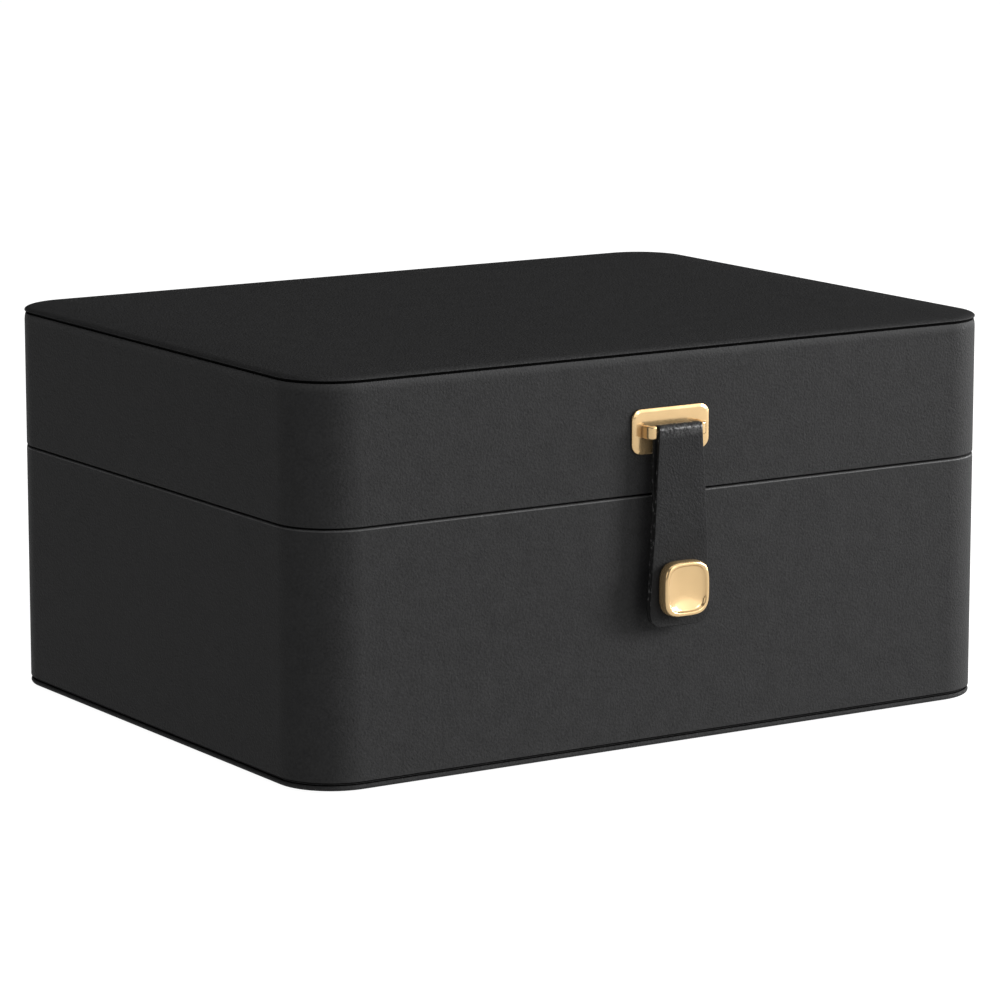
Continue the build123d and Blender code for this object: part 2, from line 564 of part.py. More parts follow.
# --- The assembly ----------------------------------------------------------------------------------
def make_nodes():
    """Every separate piece, by node name."""
    nodes = {}
    nodes["bottom_felt"] = slab(FELT_INSET, 0, FELT)
    nodes["bottom_board"], nodes["bottom_leather"] = make_bottom_panel()
    nodes["base_frame"] = make_base_frame()
    nodes["base_leather"] = make_base_leather()
    nodes["base_floor_board"] = slab(INNER_FRAME + GLUE, BOTTOM_TOP, FLOOR_LOW)
    nodes["base_floor_velvet"] = slab(INNER_LINING + GLUE, FLOOR_LOW, FLOOR_HIGH)
    lining_top = BASE_HIGH - LINING_BELOW_RIM
    nodes["base_wall_velvet"] = ring(INNER_FRAME + GLUE, INNER_LINING, FLOOR_LOW, lining_top)
    ledge_top = TRAY_LOW - TRAY_SETDOWN
    nodes["tray_ledge"] = ring(INNER_LINING + GLUE, INNER_LEDGE, FLOOR_HIGH, ledge_top)
    dividers = make_lower_dividers()
    nodes["lower_long_divider"], nodes["lower_left_divider"], nodes["lower_right_divider"] = dividers
    nodes["base_catch_cup"], nodes["base_catch_magnet"], nodes["base_catch_washer"] = make_base_catch()
    for name, side in (("left", -1), ("right", 1)):
        nodes[f"{name}_hinge_base_leaf"] = hinge_leaf(side * HINGE_X, -1)
        nodes[f"{name}_hinge_pin"] = hinge_pin(side * HINGE_X)
        nodes[f"{name}_hinge_lid_leaf"] = hinge_leaf(side * HINGE_X, 1)
        nodes[f"{name}_pull_tab"] = pull_tab(side)
    nodes["base_hinge_screws"] = hinge_screws(-1)

    nodes["lid_frame"] = make_lid_frame()
    nodes["lid_leather"] = make_lid_leather()
    nodes["lid_top_board"] = slab(INNER_FRAME + GLUE, CEILING_HIGH, TOP_LOW)
    nodes["lid_top_foam"], nodes["lid_top_leather"] = make_top_panel()
    nodes["lid_ceiling_velvet"] = slab(INNER_FRAME + GLUE, CEILING_LOW, CEILING_HIGH)
    lining_low = LID_LOW + LINING_BELOW_RIM
    nodes["lid_wall_velvet"] = ring(INNER_FRAME + GLUE, INNER_LINING, lining_low, CEILING_LOW)
    nodes["mirror_backing"], nodes["mirror_glass"], nodes["mirror_frame"] = make_mirror()
    plate, bar, backing, screws = make_clasp()
    nodes["clasp_plate"], nodes["clasp_bar"] = plate, bar
    nodes["clasp_backing_plate"], nodes["clasp_screws"] = backing, screws
    nodes["lid_hinge_screws"] = hinge_screws(1)

    nodes["strap_leather"] = make_strap()
    nodes["button_cap"], nodes["button_post"] = make_button()
    nodes["strap_catch_cup"], nodes["strap_catch_magnet"] = make_strap_catch()

    tray_hollow = tray_slab(TRAY_INNER, TRAY_INSIDE, TRAY_HIGH)
    nodes["tray_shell"] = tray_slab(TRAY_OUTER, TRAY_LOW, TRAY_HIGH) - tray_hollow
    nodes["tray_floor_velvet"] = tray_slab(TRAY_INNER + GLUE, TRAY_INSIDE, TRAY_FLOOR_HIGH)
    dividers = make_tray_dividers()
    nodes["tray_long_divider"], nodes["tray_left_divider"], nodes["tray_right_divider"] = dividers
    for index in range(ROLL_COUNT):
        nodes[f"ring_roll_{index + 1}"] = ring_roll(index)
    return nodes


os.makedirs("parts", exist_ok=True)
for node_name, shape in make_nodes().items():
    export_step(shape, f"parts/{node_name}.step")
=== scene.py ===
import json
import math

import bmesh
import bpy
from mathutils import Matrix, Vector, noise


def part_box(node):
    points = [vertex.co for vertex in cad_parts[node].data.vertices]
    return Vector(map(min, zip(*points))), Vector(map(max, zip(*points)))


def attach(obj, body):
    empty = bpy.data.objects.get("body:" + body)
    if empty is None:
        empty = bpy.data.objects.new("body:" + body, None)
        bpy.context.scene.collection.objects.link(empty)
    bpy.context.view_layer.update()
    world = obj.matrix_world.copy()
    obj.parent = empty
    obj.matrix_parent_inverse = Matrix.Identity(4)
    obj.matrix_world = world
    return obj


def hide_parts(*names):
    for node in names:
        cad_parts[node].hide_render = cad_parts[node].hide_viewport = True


MM = 0.001  # shapes are worked out in millimetres; materials, camera and lights are in metres

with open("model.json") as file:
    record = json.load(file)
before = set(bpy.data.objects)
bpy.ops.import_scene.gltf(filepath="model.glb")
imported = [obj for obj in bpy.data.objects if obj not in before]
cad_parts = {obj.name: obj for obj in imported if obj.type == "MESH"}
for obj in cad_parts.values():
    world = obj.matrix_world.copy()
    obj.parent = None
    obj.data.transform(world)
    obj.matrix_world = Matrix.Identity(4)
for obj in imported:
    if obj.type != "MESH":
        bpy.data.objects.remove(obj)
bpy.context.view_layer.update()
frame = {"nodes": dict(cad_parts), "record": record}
NODES = frame["nodes"]


# --- Node materials ------------------------------------------------------------------------------
class Nodes:
    """A material whose node tree is built by short calls."""

    def __init__(self, name):
        self.material = bpy.data.materials.new(name)
        self.material.use_nodes = True
        self.tree = self.material.node_tree
        self.shader = self.tree.nodes["Principled BSDF"]
        self.place = self.tree.nodes.new("ShaderNodeTexCoord").outputs["Object"]

    def add(self, kind, **values):
        """A new node; each value goes to its input socket, or to its property, of that name."""
        node = self.tree.nodes.new(kind)
        for key, value in values.items():
            if hasattr(node, key):
                setattr(node, key, value)
            elif isinstance(value, bpy.types.NodeSocket):
                self.tree.links.new(value, node.inputs[key])
            else:
                node.inputs[key].default_value = value
        return node

    def set(self, **values):
        """Sets or links the shader's sockets; an underscore stands for a space."""
        for key, value in values.items():
            socket = self.shader.inputs[key.replace("_", " ")]
            if isinstance(value, bpy.types.NodeSocket):
                self.tree.links.new(value, socket)
            else:
                socket.default_value = value

    def noise(self, scale, detail=3.0, roughness=0.5, stretch=(1, 1, 1)):
        place = self.place
        if stretch != (1, 1, 1):
            mapping = self.add("ShaderNodeMapping", Vector=place, Scale=stretch)
            place = mapping.outputs["Vector"]
        node = self.add(
            "ShaderNodeTexNoise", Vector=place, Scale=scale, Detail=detail, Roughness=roughness
        )
        return node.outputs["Fac"]

    def pebbles(self, scale):
        node = self.add(
            "ShaderNodeTexVoronoi", feature="SMOOTH_F1", Vector=self.place, Scale=scale
        )
        return node.outputs["Distance"]

    def remap(self, value, low, high, to_low, to_high):
        node = self.add("ShaderNodeMapRange", Value=value)
        for index, number in enumerate((low, high, to_low, to_high), 1):
            node.inputs[index].default_value = number
        return node.outputs["Result"]

    def climb(self, height):
        """0 up to a height, 1 from 2.5 mm above it, and a ramp between them."""
        ramp = 0.0025
        up = self.add("ShaderNodeSeparateXYZ", Vector=self.place).outputs["Z"]
        return self.remap(up, height, height + ramp, 0, 1)

    def math(self, operation, a, b):
        node = self.tree.nodes.new("ShaderNodeMath")
        node.operation = operation
        for socket, value in zip(node.inputs, (a, b)):
            if isinstance(value, bpy.types.NodeSocket):
                self.tree.links.new(value, socket)
            else:
                socket.default_value = value
        return node.outputs["Value"]

    def mix(self, value, dark, light):
        """A colour between two, by value."""
        ramp = self.add("ShaderNodeValToRGB", Fac=value)
        ramp.color_ramp.elements[0].color = (*dark, 1)
        ramp.color_ramp.elements[1].color = (*light, 1)
        return ramp.outputs["Color"]

    def bump(self, *layers, edges=0.0):
        """Stacks bumps on edges softened to a radius; a layer is height, depth and strength."""
        normal = self.add("ShaderNodeBevel", Radius=edges).outputs["Normal"] if edges else None
        for height, depth, strength in layers:
            node = self.add("ShaderNodeBump", Height=height, Distance=depth, Strength=strength)
            if normal:
                self.tree.links.new(normal, node.inputs["Normal"])
            normal = node.outputs["Normal"]
        self.set(Normal=normal)


def leather_material(name, roughness, grain, shine, colour, worn_above=None, painted_highlight_above=None):
    """Smooth coated leather: small pebbles, soft creases between them and a slightly uneven sheen.
    It can be polished by wear above a height, or painted paler above a height as a painted
    highlight."""
    m = Nodes(name)
    pebbles = m.pebbles(1700)
    creases = m.noise(1500, 3, 0.6)
    patches = m.noise(160, 3)
    broad = m.noise(20, 2)
    uneven = m.math("ADD", m.math("MULTIPLY", creases, 0.75), m.math("MULTIPLY", patches, 0.25))
    darkest, lightest = 0.8, 1.2  # shares of the colour
    tone = m.remap(uneven, 0.35, 0.65, 0, 1)
    # painted highlight: above the given height the colour ramps towards a paler leather
    if painted_highlight_above:
        lightest = 2.0
        tone = m.math("MULTIPLY", tone, 1 / 3)
        tone = m.math("ADD", tone, m.math("MULTIPLY", m.climb(painted_highlight_above), 0.55))
    m.set(
        Base_Color=m.mix(tone, [c * darkest for c in colour], [c * lightest for c in colour]),
        Roughness=m.remap(uneven, 0.35, 0.65, roughness - 0.05, roughness + 0.05),
        Specular_IOR_Level=shine,
    )
    if worn_above:
        scuffs = m.remap(m.noise(1300, 3, 0.7), 0.42, 0.62, 0, 1)
        wear = m.math("MULTIPLY", m.climb(worn_above), scuffs)
        m.set(Coat_Weight=wear, Coat_Roughness=0.32)
    m.bump((broad, 0.0006, 0.08), (creases, 0.0002, grain), (pebbles, 0.0001, grain))
    return m.material


def velvet_material(name, dark, light):
    """Short pile, lighter and darker where it is brushed one way or the other."""
    m = Nodes(name)
    pile = m.noise(2600, 2)
    brushed = m.noise(45, 3, 0.6, (1, 0.45, 1))
    mottled = m.math("ADD", m.math("MULTIPLY", pile, 0.35), m.math("MULTIPLY", brushed, 0.65))
    m.set(
        Base_Color=m.mix(m.remap(mottled, 0.35, 0.65, 0, 1), dark, light),
        Roughness=0.95,
        Specular_IOR_Level=0.15,
        Sheen_Weight=0.5,
        Sheen_Roughness=0.35,
    )
    m.bump((brushed, 0.0006, 0.12), (pile, 0.0003, 0.45))
    return m.material


def metal_material(name, colour, roughness, scratch_stretch):
    """Polished or plated metal with hairline scratches and a little haze."""
    m = Nodes(name)
    hairlines = m.noise(900, 3, 0.7, scratch_stretch)
    haze = m.noise(220, 3)
    m.set(
        Base_Color=m.mix(haze, [c * 0.96 for c in colour], colour),
        Metallic=0.75,
        Roughness=m.remap(haze, 0.3, 0.7, roughness * 0.8, roughness * 1.3),
    )
    m.bump((hairlines, 0.00002, 0.08), edges=0.00015)
    return m.material


def mirror_material():
    """Silvered glass with a little haze."""
    m = Nodes("mirror_silver")
    haze = m.noise(90, 2)
    m.set(
        Base_Color=(0.9, 0.91, 0.92, 1),
        Metallic=1.0,
        Roughness=m.remap(haze, 0.3, 0.7, 0.01, 0.03),
    )
    return m.material


def fibre_material(name, dark, light, scale, stretch, depth, shine=0.3):
    """Pressed fibres: board, card, felt or foam."""
    m = Nodes(name)
    fibres = m.noise(scale, 4, 0.7, stretch)
    colour = m.mix(m.remap(fibres, 0.35, 0.65, 0, 1), dark, light)
    m.set(Base_Color=colour, Roughness=0.9, Specular_IOR_Level=shine)
    m.bump((fibres, depth, 0.5))
    return m.material


def grey(level):
    return (level, level, level)


def raw_edge_material():
    """The cut edge of dyed leather: rough fibres with pale specks between them."""
    m = Nodes("leather_raw_edge")
    fibres = m.noise(1600, 4, 0.7)
    specks = m.remap(m.noise(1100, 3, 0.65, (1, 1, 0.6)), 0.56, 0.68, 0, 1)
    m.set(
        Base_Color=m.mix(specks, grey(0.005), grey(0.11)),
        Roughness=0.7,
        Specular_IOR_Level=0.15,
    )
    m.bump((fibres, 0.0003, 0.9))
    return m.material


BLACK = (0.0175, 0.0175, 0.0177)
EVEN = (1, 1, 1)  # a fibre pattern that isn't stretched
WOOD_DARK, WOOD_LIGHT = (0.26, 0.17, 0.09), (0.42, 0.3, 0.18)
CARD_DARK, CARD_LIGHT = (0.14, 0.13, 0.12), (0.24, 0.23, 0.21)
FOAM_DARK, FOAM_LIGHT = (0.55, 0.53, 0.46), (0.7, 0.68, 0.6)
FOLD_Z = 0.0876  # the strap is worn above this height, where it bends over the bar
LID_HIGHLIGHT_Z = 0.1081  # the lid's leather is painted paler above this height: a painted highlight along its upper edge
MATERIALS = {
    "leather_black": leather_material("leather_smooth", 0.52, 0.9, 0.018, BLACK),
    "velvet_grey": velvet_material("velvet", (0.10, 0.088, 0.08), (0.17, 0.152, 0.14)),
    "gold_polished": metal_material("gold", (0.515, 0.357, 0.18), 0.17, (1, 1, 6)),
    "steel_plated": metal_material("steel", (0.3, 0.3, 0.31), 0.3, (1, 12, 1)),
    "mirror_glass": mirror_material(),
    "frame_wood": fibre_material("fibreboard", WOOD_DARK, WOOD_LIGHT, 700, EVEN, 0.0002),
    "felt_black": fibre_material("felt", grey(0.008), grey(0.03), 1200, (1, 1, 3), 0.0004),
    "foam": fibre_material("foam", FOAM_DARK, FOAM_LIGHT, 1500, EVEN, 0.0003),
    "grey_card": fibre_material("grey_card", CARD_DARK, CARD_LIGHT, 1100, EVEN, 0.0001),
}
STRAP_LEATHER = leather_material(
    "leather_strap", 0.5, 0.9, 0.03, (0.0118, 0.0118, 0.012), worn_above=FOLD_Z
)
TAB_LEATHER = leather_material("leather_tab", 0.5, 0.9, 0.05, (0.016, 0.016, 0.0162))
RAW_EDGE = raw_edge_material()
LID_LEATHER_PAINTED_HIGHLIGHT = leather_material("leather_lid_painted_highlight", 0.52, 0.9, 0.018, BLACK, painted_highlight_above=LID_HIGHLIGHT_Z)
# painted highlight: a paler, glossier leather that stands in for the light along the base's top lip
LIP_PAINTED_HIGHLIGHT = leather_material("leather_lip_painted_highlight", 0.45, 0.5, 0.12, (0.034, 0.034, 0.0343))
# painted shade: a near-black, unshiny material laid in the grooves and seam where shade falls
GROOVE_PAINTED_SHADE = fibre_material("groove_painted_shade", grey(0.001), grey(0.002), 900, EVEN, 0.0001, 0.01)

for entry in frame["record"]["subparts"]:
    mesh = NODES[entry["node"]].data
    mesh.materials.clear()
    mesh.materials.append(MATERIALS[entry["material_slot"]])


# --- Mesh making ---------------------------------------------------------------------------------
def add_piece(name, points, faces, slot, body, replaced, material=None):
    """A closed mesh as a piece on a body, with smooth shading that keeps flat faces flat."""
    mesh = bpy.data.meshes.new(name)
    mesh.from_pydata([Vector(p) * MM for p in points], [], faces)
    work = bmesh.new()
    work.from_mesh(mesh)
    bmesh.ops.remove_doubles(work, verts=work.verts, dist=1e-7)
    bmesh.ops.recalc_face_normals(work, faces=work.faces)
    work.to_mesh(mesh)
    work.free()
    mesh.shade_smooth()
    mesh.materials.append(material or MATERIALS[slot])
    piece = bpy.data.objects.new(name, mesh)
    bpy.context.scene.collection.objects.link(piece)
    weighted = piece.modifiers.new("weighted_normals", "WEIGHTED_NORMAL")
    weighted.weight = 100
    weighted.keep_sharp = True
    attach(piece, body)
    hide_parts(*replaced)
    return piece


def paint(piece, material, chosen):
    """Gives a material to the faces that a test of their middle (in mm) and normal picks."""
    piece.data.materials.append(material)
    index = len(piece.data.materials) - 1
    for face in piece.data.polygons:
        if chosen(face.center / MM, face.normal):
            face.material_index = index


def arc(cx, cy, radius, start, end, steps=6):
    """Points on an arc; angles in degrees."""
    angles = [math.radians(start + (end - start) * i / steps) for i in range(steps + 1)]
    return [(cx + radius * math.cos(a), cy + radius * math.sin(a)) for a in angles]


def rounded_loop(width, depth, radius, arc_steps=10, side_steps=1):
    """Points round a rounded rectangle about the origin, anticlockwise."""
    radius = max(radius, 0.02)  # so that a corner's points never meet
    half_w, half_d = width / 2 - radius, depth / 2 - radius
    centres = [(half_w, -half_d), (half_w, half_d), (-half_w, half_d), (-half_w, -half_d)]
    corners = []
    for index, (x, y) in enumerate(centres):
        corners.append(arc(x, y, radius, 90 * index - 90, 90 * index, arc_steps))
    points = []
    for corner, following in zip(corners, corners[1:] + corners[:1]):
        points += corner
        (x0, y0), (x1, y1) = corner[-1], following[0]
        for step in range(1, side_steps):
            t = step / side_steps
            points.append((x0 + (x1 - x0) * t, y0 + (y1 - y0) * t))
    return points


def loft(rings, closed=False):
    """Points and faces of a skin drawn over rings that all have the same number of points. Closed,
    its last ring joins the first one; otherwise both ends are capped."""
    count = len(rings[0])
    points = [p for ring in rings for p in ring]
    pairs = list(zip(range(len(rings) - 1), range(1, len(rings))))
    if closed:
        pairs.append((len(rings) - 1, 0))
    faces = []
    for a, b in pairs:
        for i in range(count):
            j = (i + 1) % count
            faces.append((a * count + i, a * count + j, b * count + j, b * count + i))
    if not closed:
        start = (len(rings) - 1) * count
        faces.append(tuple(range(count))[::-1])
        faces.append(tuple(range(start, start + count)))
    return points, faces


def size_of(node):
    """Low and high corner of a CAD node, in millimetres."""
    low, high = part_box(node)
    return low / MM, high / MM


def node_height(node):
    """How low and how high a CAD node reaches."""
    low, high = size_of(node)
    return low.z, high.z


BODY_LOW, BODY_HIGH = size_of("base_leather")
WIDTH, DEPTH = BODY_HIGH.x - BODY_LOW.x, BODY_HIGH.y - BODY_LOW.y
CORNER = 16.7  # the radius of the box's upright corners
FRONT = BODY_LOW.y


def body_rings(profile):
    """Rings that follow the box's outline; the profile gives each one's inset and height."""
    rings = []
    for inset, z in profile:
        width, depth = WIDTH - 2 * inset, DEPTH - 2 * inset
        loop = rounded_loop(width, depth, CORNER - inset, arc_steps=14, side_steps=8)
        rings.append([(x, y, z) for x, y in loop])
    return rings


# --- Leather walls and panels --------------------------------------------------------------------
SKIN = 0.8  # the leather's thickness
LIP = 0.45  # the radius with which it turns round an edge
FRAME_INSET = 5.8  # where it ends, inside the wooden ring
TUCK_OUT, TUCK_IN, TUCK = LIP + 0.25, SKIN + 0.05, 0.28  # the fold that closes a groove
PANEL_LIFT = 0.2  # how far the lid's top panel is raised above its groove
PULL = 2.4  # how far down the lid's upper edge is rounded


def base_skin():
    """The leather round the base: a tuck at the bottom groove, and a lip over the wooden ring."""
    low, high = BODY_LOW.z, BODY_HIGH.z
    wall = [(TUCK_IN, low), (TUCK_IN, low - TUCK), (TUCK_OUT, low - TUCK), (TUCK_OUT, low)]
    wall += arc(LIP, low + LIP, LIP, 270, 180)
    wall += arc(LIP, high - LIP, LIP, 180, 90)
    wall += [(FRAME_INSET - LIP, high)] + arc(FRAME_INSET - LIP, high - LIP, LIP, 90, 0)[1:]
    wall += [(FRAME_INSET, high - SKIN), (SKIN, high - SKIN)]
    points, faces = loft(body_rings(wall), closed=True)
    skin = add_piece("base_leather_skin", points, faces, "leather_black", "base", ["base_leather"])
    # painted highlight on the upward-facing top lip of the base
    paint(skin, LIP_PAINTED_HIGHLIGHT, lambda middle, normal: middle.z > high - LIP and normal.z > 0.1)
    # painted shade in the bottom groove, on the lower half of the base's bottom lip
    paint(skin, GROOVE_PAINTED_SHADE, lambda middle, normal: middle.z < low + 0.3 and normal.z < -0.35)


def lid_skin():
    """The leather round the lid: a lip under the wooden ring, a softly rounded upper edge and a
    tuck at the top groove."""
    low, high = node_height("lid_leather")
    wall = [(SKIN, low + SKIN), (FRAME_INSET, low + SKIN)]
    wall += arc(FRAME_INSET - LIP, low + LIP, LIP, 0, -90) + arc(LIP, low + LIP, LIP, 270, 180)
    for step in range(13):
        turn = 0.13 * step
        wall.append((LIP - LIP * math.cos(turn), high - PULL + PULL * math.sin(turn)))
    top_tuck = high + TUCK + PANEL_LIFT
    wall += [(TUCK_OUT, high), (TUCK_OUT, top_tuck), (TUCK_IN, top_tuck), (TUCK_IN, high)]
    points, faces = loft(body_rings(wall), closed=True)
    stands_for = ["lid_leather"]
    skin = add_piece(
        "lid_leather_skin", points, faces, "leather_black", "lid", stands_for, LID_LEATHER_PAINTED_HIGHLIGHT
    )

    def in_seam(middle, normal):
        """Whether a face is on the outer lower lip, in the seam's shadow."""
        outwards = normal.xy.dot(middle.xy) > 0
        return middle.z < low + 0.3 and -0.98 < normal.z < -0.5 and outwards

    # painted shade in the top groove, on the tuck below the panel
    paint(skin, GROOVE_PAINTED_SHADE, lambda middle, normal: middle.z > high - 0.02)
    # painted shade in the seam, on the lid's outer lower lip
    paint(skin, GROOVE_PAINTED_SHADE, in_seam)


def bottom_cover():
    """The leather folded round the bottom panel, with a groove above it."""
    low, high = node_height("bottom_leather")
    edge, groove = (high - low) / 2, 0.12
    fold = edge - groove / 2
    profile = [(0.9, high), (0.85, high - groove), (edge, high - groove)]
    profile += arc(edge, low + fold, fold, 90, 270, 10) + [(6, low)]
    points, faces = loft(body_rings(profile))
    stands_for = ["bottom_leather"]
    cover = add_piece("bottom_leather_cover", points, faces, "leather_black", "base", stands_for)
    # painted shade in the bottom groove, on the top of the bottom cover
    paint(cover, GROOVE_PAINTED_SHADE, lambda middle, normal: middle.z > high - 0.3 and normal.z > 0.7)


def top_panel():
    """The lid's padded top: a hem at its groove, a rounded shoulder and a slight crown."""
    low, high = node_height("lid_top_leather")
    edge, hem = low + PANEL_LIFT, 0.3
    shoulder, run, crown = edge + 0.35, 3.0, 0.55
    profile = [(6, low), (0.95, low), (0.95, edge)] + arc(hem, edge + hem, hem, 270, 180, 4)
    for step in range(11):
        turn = 0.05 + 0.14 * step
        rise = (high - shoulder) * math.sin(turn)
        profile.append((run - run * math.cos(turn), shoulder + rise))
    for step in range(1, 13):
        reach = 28 * (step / 12) ** 1.6
        profile.append((run + reach, high + crown * (1 - math.exp(-reach / 8.0))))
    points, faces = loft(body_rings(profile))
    stands_for = ["lid_top_leather", "lid_top_foam"]
    top = add_piece("lid_top_padded_leather", points, faces, "leather_black", "lid", stands_for)
    # painted shade in the top groove, on the panel's lower round edge
    paint(top, GROOVE_PAINTED_SHADE, lambda middle, normal: middle.z < edge + 0.25 and normal.z < 0.2)


base_skin()
lid_skin()
bottom_cover()
top_panel()


# --- Clasp ---------------------------------------------------------------------------------------
PLATE_LOW, PLATE_HIGH = size_of("clasp_plate")
PLATE_THICK = PLATE_HIGH.y - PLATE_LOW.y
PLATE_Z = (PLATE_LOW.z + PLATE_HIGH.z) / 2
BAR_OFF, BAR_Z = 4.2, 89.9  # how far off the front the bar runs, and how high
BAR_HALF = size_of("clasp_bar")[1].x
LEG_DEEP, LEG_TALL = 1.6, 3.6  # its section where it shows
BAR_RADIUS = 0.6  # its radius under the strap
NECK_X, NECK = 7.6, 0.5  # where it thins from one to the other, and over what length


def clasp_plate():
    """A flat plate with a bevel and round corners."""
    width, height = PLATE_HIGH.x - PLATE_LOW.x, PLATE_HIGH.z - PLATE_LOW.z
    corner = 3.0
    profile = [(0.0, PLATE_THICK), (0.0, 0.4), (0.04, 0.3), (0.12, 0.24), (0.22, 0.2)]
    profile += [(0.7, 0.06), (0.78, 0.02), (0.86, 0.0), (1.1, 0.0), (2.0, 0.0)]
    rings = []
    for inset, below_face in profile:
        loop = rounded_loop(width - 2 * inset, height - 2 * inset, corner - inset, side_steps=4)
        rings.append([(x, FRONT - PLATE_THICK + below_face, PLATE_Z + z) for x, z in loop])
    points, faces = loft(rings)
    add_piece("clasp_plate_polished", points, faces, "gold_polished", "lid", ["clasp_plate"])


def bar_path():
    """Where the bar's middle runs, seen from above: out of the plate, round a bend and across."""
    bend = 1.1
    x_out = BAR_HALF - LEG_DEEP / 2
    path = [(-x_out, PLATE_THICK - 0.05), (-x_out, (PLATE_THICK + BAR_OFF - bend) / 2)]
    path += arc(-x_out + bend, BAR_OFF - bend, bend, 180, 90, 8)
    path += [(-NECK_X + NECK * step / 5, BAR_OFF) for step in range(6)]
    return path + [(-x, off) for x, off in reversed(path)]


def blend(start, end, share):
    """A value part of the way from one to another."""
    return start + (end - start) * share


def clasp_bar():
    """The bent bar that the strap hangs from: flat, tall ends and a thin round middle."""
    path = bar_path()
    rings = []
    for index, (x, off) in enumerate(path):
        before, after = path[max(index - 1, 0)], path[min(index + 1, len(path) - 1)]
        along = Vector((after[0] - before[0], after[1] - before[1])).normalized()
        across = Vector((-along.y, along.x))
        neck = math.sin(max(0.0, min(1.0, (NECK_X - abs(x)) / NECK)) * math.pi / 2)
        deep, tall = (2 * blend(side / 2, BAR_RADIUS, neck) for side in (LEG_DEEP, LEG_TALL))
        corner = blend(0.5, BAR_RADIUS - 0.01, neck)
        middle = blend(PLATE_Z + 0.1, BAR_Z, neck)
        ring = []
        for a, b in rounded_loop(deep, tall, corner, arc_steps=6):
            ring.append((x + across.x * a, FRONT - off - across.y * a, middle + b))
        rings.append(ring)
    points, faces = loft(rings)
    add_piece("clasp_bar_polished", points, faces, "gold_polished", "lid", ["clasp_bar"])


clasp_plate()
clasp_bar()


# --- Strap ---------------------------------------------------------------------------------------
STRAP_THICK, BAR_GAP = 1.0, 0.08  # the gap is between the bar and the strap round it
STRAP_BOTTOM = node_height("strap_leather")[0]
LOOP = BAR_RADIUS + BAR_GAP + STRAP_THICK / 2  # the radius of its middle line round the bar
FRONT_LEG = BAR_OFF + LOOP  # how far off the front its outer tail hangs
BUTTON_TOP = 54  # above this height its outer tail bows out
LEAN_Z = 79  # below this height its inner tail leans out to meet the other one


def ease(t):
    """A smooth step from 0 to 1."""
    t = max(0.0, min(1.0, t))
    return t * t * (3 - 2 * t)


def strap_centre():
    """The strap's middle line, from its front end over the bar to its back end: each point's
    distance out and height."""
    low = STRAP_BOTTOM
    round_end = 4
    front = [low + rise for rise in (0, 0.15, 0.5, 1.1, 1.9, 2.9, 4.0)]
    front += [low + round_end + (BAR_Z - low - round_end) * i / 26 for i in range(1, 27)]
    line = []
    for z in front:
        bow = 0.22 * math.sin(math.pi * (z - low) / (BAR_Z - low)) ** 2
        line.append((FRONT_LEG + bow * ease((z - BUTTON_TOP) / 8), z))
    line += arc(BAR_OFF, BAR_Z, LOOP, 0, 180, 14)[1:]
    back, together = BAR_OFF - LOOP, FRONT_LEG - STRAP_THICK - 0.02
    for z in reversed(front[:-1]):
        line.append((blend(back, together, ease((LEAN_Z - z) / 9)), z))
    return line


def strap_half_width(z):
    """Half the strap's width at a height: it flares downwards and has round corners at its end."""
    top, top_half, flare, flare_length, corner = 92, 7.05, 3.2, 57, 4.3
    half = top_half + flare * (top - z) / flare_length
    rise = z - STRAP_BOTTOM
    if rise < corner:
        half -= corner - math.sqrt(max(corner**2 - (corner - rise) ** 2, 0.0))
    return half


def ribbon(line, half_widths, thick, place, edge=0.22, across_steps=10):
    """Rings across a bent strip: a flat face, a worn edge, the other face and the other edge.
    place turns a point's distance across, its distance out and its height into coordinates."""
    rings = []
    for index, ((out, z), half) in enumerate(zip(line, half_widths)):
        before, after = line[max(index - 1, 0)], line[min(index + 1, len(line) - 1)]
        along = Vector((after[0] - before[0], after[1] - before[1])).normalized()
        normal = Vector((along.y, -along.x))
        half_t, cut = thick / 2, edge * 0.3
        section = [(half - edge, -half_t), (half - cut, -half_t + cut), (half, -half_t + edge)]
        section += [(half, half_t - edge), (half - cut, half_t - cut), (half - edge, half_t)]
        face = [(half - edge) * (1 - 2 * i / across_steps) for i in range(1, across_steps)]
        loop = section + [(x, half_t) for x in face]
        loop += [(-x, t) for x, t in reversed(section)] + [(-x, -half_t) for x in face]
        rings.append([place(x, out + normal.x * t, z + normal.y * t) for x, t in loop])
    return rings


def folded_strap():
    """The strap, folded over the bar, with raw edges."""
    line = strap_centre()
    half_widths = [strap_half_width(z) for off, z in line]

    def place(across, out, up):
        return across, FRONT - out, up

    points, faces = loft(ribbon(line, half_widths, STRAP_THICK, place))
    name, stands_for = "strap_folded_leather", ["strap_leather"]
    strap = add_piece(name, points, faces, "leather_black", "strap", stands_for, STRAP_LEATHER)
    paint(strap, RAW_EDGE, lambda middle, normal: abs(normal.x) > 0.6)


folded_strap()


# --- Button --------------------------------------------------------------------------------------
def button_rings(width, height, z, off, profile, count=96):
    """Rings of a full-cornered square whose sides bulge, rounder towards its middle; the profile
    gives each one's inset and how far it stands out."""
    rings = []
    for inset, out in profile:
        half_w, half_h = width / 2 - inset, height / 2 - inset
        squareness = 3.6 - 1.2 * inset / 7.5
        power = 2 / squareness
        ring = []
        for step in range(count):
            angle = 2 * math.pi * step / count
            c, s = math.cos(angle), math.sin(angle)
            x = half_w * math.copysign(abs(c) ** power, c)
            y = half_h * math.copysign(abs(s) ** power, s)
            ring.append((x, FRONT - off - out, z + y))
        rings.append(ring)
    return rings


